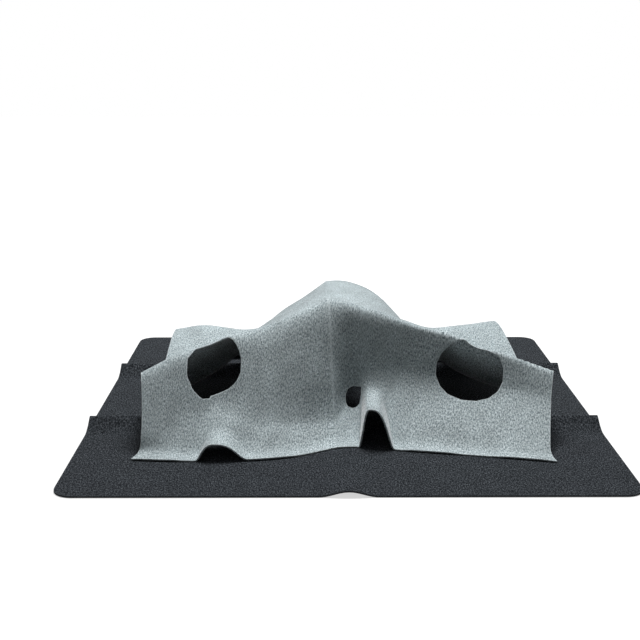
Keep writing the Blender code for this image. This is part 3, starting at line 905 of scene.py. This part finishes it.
def felt_group():
    """Needle-punched melange: crossing fibres, clumps, needle rows and slow tone changes, with a painted
    highlight blended in by a mask.
    """
    if "needle_felt" in bpy.data.node_groups:
        return bpy.data.node_groups["needle_felt"]
    group, given, result = new_group(
        "needle_felt",
        (
            ("Cloth place", "NodeSocketVector", None),
            ("Ground", "NodeSocketColor", (0.4, 0.4, 0.4, 1.0)),
            ("Pale fibres", "NodeSocketColor", (0.7, 0.7, 0.7, 1.0)),
            ("Dark fibres", "NodeSocketColor", (0.1, 0.1, 0.1, 1.0)),
            ("Clump size", "NodeSocketFloat", 0.0016),
            ("Row pitch", "NodeSocketFloat", 0.0032),
            ("Painted highlight", "NodeSocketFloat", 0.0),
        ),
        (("Color", "NodeSocketColor"), ("Height", "NodeSocketFloat"), ("Roughness", "NodeSocketFloat")),
    )
    place = given.outputs["Cloth place"]
    fine = calculate(group, "DIVIDE", 1.0, given.outputs["Clump size"])
    strand_rates = [calculate(group, "MULTIPLY", fine, rate) for rate in STRAND_RATES]
    strands = [noise(group, place, strand_rates, lay, STRAND_GRAIN) for lay in STRAND_LAYS]
    streak_rates = [calculate(group, "MULTIPLY", fine, rate) for rate in STREAK_RATES]
    streak = noise(group, place, streak_rates, STREAK_LAY, STREAK_GRAIN)
    clump = noise(group, place, (fine, fine), CLUMP_LAY, CLUMP_GRAIN)
    cloud = noise(group, place, CLOUDS_PER_METRE, CLOUD_LAY, CLOUD_GRAIN)
    clump_part = calculate(group, "MULTIPLY", clump, CLUMP_SHARE)
    melange = calculate(group, "MULTIPLY_ADD", streak, STREAK_SHARE, clump_part)
    crossed = calculate(group, "MAXIMUM", strands[0], strands[1])
    sunken = calculate(group, "MINIMUM", strands[1], strands[2])
    pale, dark = given.outputs["Pale fibres"], given.outputs["Dark fibres"]
    colour = given.outputs["Ground"]
    for amount, levels, tone in (
        (melange, PALE_LEVELS, pale),
        (melange, DARK_LEVELS, dark),
        (crossed, LIT_LEVELS, pale),
        (sunken, SUNK_LEVELS, dark),
    ):
        colour = blend_colours(group, remap(group, amount, levels), colour, tone)
    toned = add_node(group, "ShaderNodeVectorMath", operation="SCALE")
    group.links.new(colour, toned.inputs[0])
    group.links.new(remap(group, cloud, CLOUD_LEVELS), toned.inputs["Scale"])
    # Painted highlight: cut edges and the fold line blend towards the pale fibres
    highlight_share = calculate(group, "MULTIPLY", given.outputs["Painted highlight"], PAINTED_HIGHLIGHT_SHARE)
    group.links.new(blend_colours(group, highlight_share, toned.outputs[0], pale), result.inputs["Color"])
    height = calculate(group, "MULTIPLY", strands[0], STRAND_HEIGHT)
    height = calculate(group, "MULTIPLY_ADD", melange, MELANGE_HEIGHT, height)
    height = calculate(group, "MULTIPLY_ADD", strands[1], STRAND_HEIGHT, height)
    rows = needle_rows(group, place, given.outputs["Row pitch"])
    group.links.new(calculate(group, "MULTIPLY_ADD", rows, ROW_HEIGHT, height), result.inputs["Height"])
    group.links.new(remap(group, clump, FELT_ROUGHNESS_LEVELS), result.inputs["Roughness"])
    return group


def needle_rows(tree, place, pitch):
    """Low wandering ribs along the cloth, a row pitch apart."""
    per_metre = calculate(tree, "DIVIDE", 2 * math.pi, pitch)
    split = add_node(tree, "ShaderNodeSeparateXYZ")
    tree.links.new(place, split.inputs[0])
    wander = noise(tree, place, ROW_WANDERS_PER_METRE, ROW_WANDER_LAY, ROW_WANDER_GRAIN)
    shift = calculate(tree, "MULTIPLY", wander, ROW_WANDER)
    wave = calculate(tree, "SINE", calculate(tree, "MULTIPLY_ADD", split.outputs[0], per_metre, shift))
    return calculate(tree, "MULTIPLY_ADD", wave, 0.5, 0.5)


def felt_material(name, look):
    """Felt in the colours and finish of one look."""
    material, tree, shader = new_material(name)
    place = add_node(tree, "ShaderNodeUVMap", uv_map="cloth")
    # Mask of the painted highlight on cut edges and along the fold
    mask = add_node(tree, "ShaderNodeAttribute", attribute_name="painted_highlight")
    felt = add_node(tree, "ShaderNodeGroup", node_tree=felt_group())
    tree.links.new(place.outputs[0], felt.inputs["Cloth place"])
    tree.links.new(mask.outputs["Fac"], felt.inputs["Painted highlight"])
    for socket, colour in (("Ground", look.ground), ("Pale fibres", look.pale), ("Dark fibres", look.deep)):
        felt.inputs[socket].default_value = (*colour, 1.0)
    felt.inputs["Clump size"].default_value = look.fibre
    felt.inputs["Row pitch"].default_value = look.rib
    add_relief(tree, felt.outputs["Height"], FELT_RELIEF, look.relief)
    tree.links.new(felt.outputs["Color"], shader.inputs["Base Color"])
    tree.links.new(felt.outputs["Roughness"], shader.inputs["Roughness"])
    shader.inputs["Specular IOR Level"].default_value = look.gloss
    shader.inputs["Sheen Weight"].default_value = look.sheen
    shader.inputs["Sheen Roughness"].default_value = FELT_SHEEN_ROUGHNESS
    return material


def grip_material(look):
    """Matte anti-slip layer with small raised dots."""
    material, tree, shader = new_material("grip_layer")
    place = add_node(tree, "ShaderNodeUVMap", uv_map="cloth")
    dots = add_node(tree, "ShaderNodeTexVoronoi", voronoi_dimensions="2D", feature="F1")
    dots.inputs["Scale"].default_value = DOTS_PER_METRE
    dots.inputs["Randomness"].default_value = 0.0
    tree.links.new(place.outputs[0], dots.inputs["Vector"])
    dome = remap(tree, dots.outputs["Distance"], DOT_LEVELS)
    specks = noise(tree, place.outputs[0], SPECKS_PER_METRE, SPECK_LAY, SPECK_GRAIN)
    height = calculate(tree, "MULTIPLY_ADD", specks, SPECK_HEIGHT, dome)
    add_relief(tree, height, GRIP_RELIEF, GRIP_RELIEF_DEPTH)
    worn = blend_colours(tree, remap(tree, specks, GRIP_WORN_LEVELS), (*look.grip, 1.0), GRIP_WORN)
    tree.links.new(worn, shader.inputs["Base Color"])
    tree.links.new(remap(tree, specks, GRIP_ROUGHNESS_LEVELS), shader.inputs["Roughness"])
    return material


def tape_material(look):
    """Woven nylon tape with rows of small hooks."""
    material, tree, shader = new_material("hook_tape_weave")
    place = add_node(tree, "ShaderNodeTexCoord")
    weave = add_node(tree, "ShaderNodeTexVoronoi", voronoi_dimensions="2D", feature="F1")
    weave.inputs["Scale"].default_value = 1.0 / look.pitch
    weave.inputs["Randomness"].default_value = WEAVE_UNEVENNESS
    tree.links.new(place.outputs["Object"], weave.inputs["Vector"])
    hooks = remap(tree, weave.outputs["Distance"], WEAVE_LEVELS)
    add_relief(tree, hooks, WEAVE_RELIEF, WEAVE_RELIEF_DEPTH)
    paler = [WEAVE_PALER * part for part in look.tape]
    tone = blend_colours(tree, hooks, (*look.tape, 1.0), (*paler, 1.0))
    tree.links.new(tone, shader.inputs["Base Color"])
    tree.links.new(remap(tree, hooks, WEAVE_ROUGHNESS_LEVELS), shader.inputs["Roughness"])
    return material


# Operators


class PLAYMAT_OT_base(bpy.types.Operator):
    """Build the base mat: charcoal felt on its anti-slip layer"""

    bl_idname = "playmat.base"
    bl_label = "Base mat"

    def execute(self, context):
        look = context.scene.playmat_base
        charcoal = felt_material("charcoal_felt_fine", look)
        felt = build_base_layer("base_cloth", FELT_BOTTOM, FELT_THICKNESS, charcoal)
        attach(felt, "base_mat")
        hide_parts("base_felt")
        grip = build_base_layer("grip_layer_sheet", 0.0, GRIP_THICKNESS, grip_material(look))
        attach(grip, "base_mat")
        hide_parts("base_grip")
        return {"FINISHED"}


class PLAYMAT_OT_rug(bpy.types.Operator):
    """Build the rippled rug with its holes and cut edges"""

    bl_idname = "playmat.rug"
    bl_label = "Rippled rug"

    def execute(self, context):
        grey = felt_material("grey_felt_fine", context.scene.playmat_rug)
        under, flat, faces = rug_surface()
        # The rug's mask carries a painted highlight along the sharp fold
        rug = felt_sheet("rug_cloth", under, flat, faces, RUG_THICKNESS, grey, painted_fold_highlight(flat))
        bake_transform(rug)
        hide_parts("upper_rug")
        return {"FINISHED"}


class PLAYMAT_OT_hooks(bpy.types.Operator):
    """Give the hook patches their woven tape finish, and cut those of the rear hem into short lengths so that
    they can bend with the rug
    """

    bl_idname = "playmat.hooks"
    bl_label = "Finish hook patches"

    def execute(self, context):
        material = tape_material(context.scene.playmat_hooks)
        for name in sorted(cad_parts):
            if name.startswith("hook_rear_"):
                patch = bending_patch(name.replace("hook_", "tape_patch_"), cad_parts[name], material)
                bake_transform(patch)
                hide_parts(name)
            elif name.startswith("hook_"):
                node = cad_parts[name]
                node.data.materials.clear()
                node.data.materials.append(material)
        return {"FINISHED"}


class PLAYMAT_OT_studio(bpy.types.Operator):
    """Build the floor, the lights and the camera"""

    bl_idname = "playmat.studio"
    bl_label = "Studio"

    def execute(self, context):
        look = context.scene.playmat_studio
        build_floor(look)
        build_world(look)
        add_softbox("key_softbox", KEY_PLACE, KEY_SIZE, look.key)
        add_softbox("overhead_softbox", OVERHEAD_PLACE, OVERHEAD_SIZE, look.overhead)
        add_softbox("left_softbox", LEFT_PLACE, LEFT_SIZE, look.side)
        context.scene.camera = add_camera(look)
        context.scene.view_settings.view_transform = "Standard"
        return {"FINISHED"}


# Floor, lights and camera


def build_floor(look):
    """A wide white floor that keeps the object's shadow."""
    plane = bmesh.new()
    bmesh.ops.create_grid(plane, x_segments=1, y_segments=1, size=FLOOR_REACH)
    mesh = bpy.data.meshes.new("floor")
    plane.to_mesh(mesh)
    plane.free()
    floor = bpy.data.objects.new("floor", mesh)
    floor.location.z = -FLOOR_DROP
    bpy.context.scene.collection.objects.link(floor)
    mesh.materials.append(floor_material(look))


def floor_material(look):
    """White floor that shows its shadow near the object, and plain white further away."""
    material, tree, shader = new_material("studio_floor")
    shader.inputs["Base Color"].default_value = (*look.floor, 1.0)
    shader.inputs["Roughness"].default_value = FLOOR_ROUGHNESS
    shader.inputs["Specular IOR Level"].default_value = 0.0
    shader.inputs["Emission Color"].default_value = (1.0, 1.0, 1.0, 1.0)
    place = add_node(tree, "ShaderNodeTexCoord")
    distance = add_node(tree, "ShaderNodeVectorMath", operation="LENGTH")
    tree.links.new(place.outputs["Object"], distance.inputs[0])
    own_light = remap(tree, distance.outputs["Value"], FLOOR_LIGHT_LEVELS)
    light = calculate(tree, "MULTIPLY", seen_plainly(tree), own_light)
    tree.links.new(light, shader.inputs["Emission Strength"])
    return material


def build_world(look):
    """Even room light, white where the camera or a reflection sees it."""
    world = bpy.data.worlds.new("studio")
    bpy.context.scene.world = world
    world.use_nodes = True
    tree = world.node_tree
    background = tree.nodes["Background"]
    background.inputs["Color"].default_value = (1.0, 1.0, 1.0, 1.0)
    level = remap(tree, seen_plainly(tree), (0.0, 1.0, look.ambient, 1.0))
    tree.links.new(level, background.inputs["Strength"])


def add_softbox(name, place, size, power):
    """A square softbox that faces the object."""
    light = bpy.data.lights.new(name, "AREA")
    light.shape = "SQUARE"
    light.size = size
    light.energy = power
    item = bpy.data.objects.new(name, light)
    item.location = place
    item.rotation_euler = (Vector(LIGHT_TARGET) - Vector(place)).to_track_quat("-Z", "Y").to_euler()
    bpy.context.scene.collection.objects.link(item)


def add_camera(look):
    """The camera at the photograph's viewing angle."""
    lens = bpy.data.cameras.new("camera")
    lens.lens = look.lens
    lens.sensor_width = CAMERA_SENSOR
    lens.clip_start, lens.clip_end = CAMERA_CLIP
    camera = bpy.data.objects.new("camera", lens)
    camera.location = CAMERA_PLACE
    camera.rotation_euler = (CAMERA_TILT, 0.0, CAMERA_TURN)
    bpy.context.scene.collection.objects.link(camera)
    return camera


# Panel, and the order of the steps


class PLAYMAT_PT_panel(bpy.types.Panel):
    """Steps and finishes of the play mat"""

    bl_label = "Play mat"
    bl_idname = "PLAYMAT_PT_panel"
    bl_space_type = "VIEW_3D"
    bl_region_type = "UI"
    bl_category = "Play mat"

    def draw(self, context):
        layout = self.layout
        for operator, group in STEPS:
            layout.operator(operator)
            look = getattr(context.scene, group)
            for name in look.__annotations__:
                layout.prop(look, name)


LOOKS = (
    ("playmat_base", BaseLook),
    ("playmat_rug", RugLook),
    ("playmat_hooks", HookLook),
    ("playmat_studio", StudioLook),
)
STEPS = (
    ("playmat.base", "playmat_base"),
    ("playmat.rug", "playmat_rug"),
    ("playmat.hooks", "playmat_hooks"),
    ("playmat.studio", "playmat_studio"),
)
OPERATORS = (PLAYMAT_OT_base, PLAYMAT_OT_rug, PLAYMAT_OT_hooks, PLAYMAT_OT_studio)


def register():
    for name, look in LOOKS:
        bpy.utils.register_class(look)
        setattr(bpy.types.Scene, name, bpy.props.PointerProperty(type=look))
    for operator in OPERATORS:
        bpy.utils.register_class(operator)
    bpy.utils.register_class(PLAYMAT_PT_panel)


def unregister():
    bpy.utils.unregister_class(PLAYMAT_PT_panel)
    for operator in reversed(OPERATORS):
        bpy.utils.unregister_class(operator)
    for name, look in reversed(LOOKS):
        delattr(bpy.types.Scene, name)
        bpy.utils.unregister_class(look)


def main():
    register()
    bpy.ops.playmat.base()
    bpy.ops.playmat.rug()
    bpy.ops.playmat.hooks()
    bpy.ops.playmat.studio()


if __name__ == "__main__":
    main()
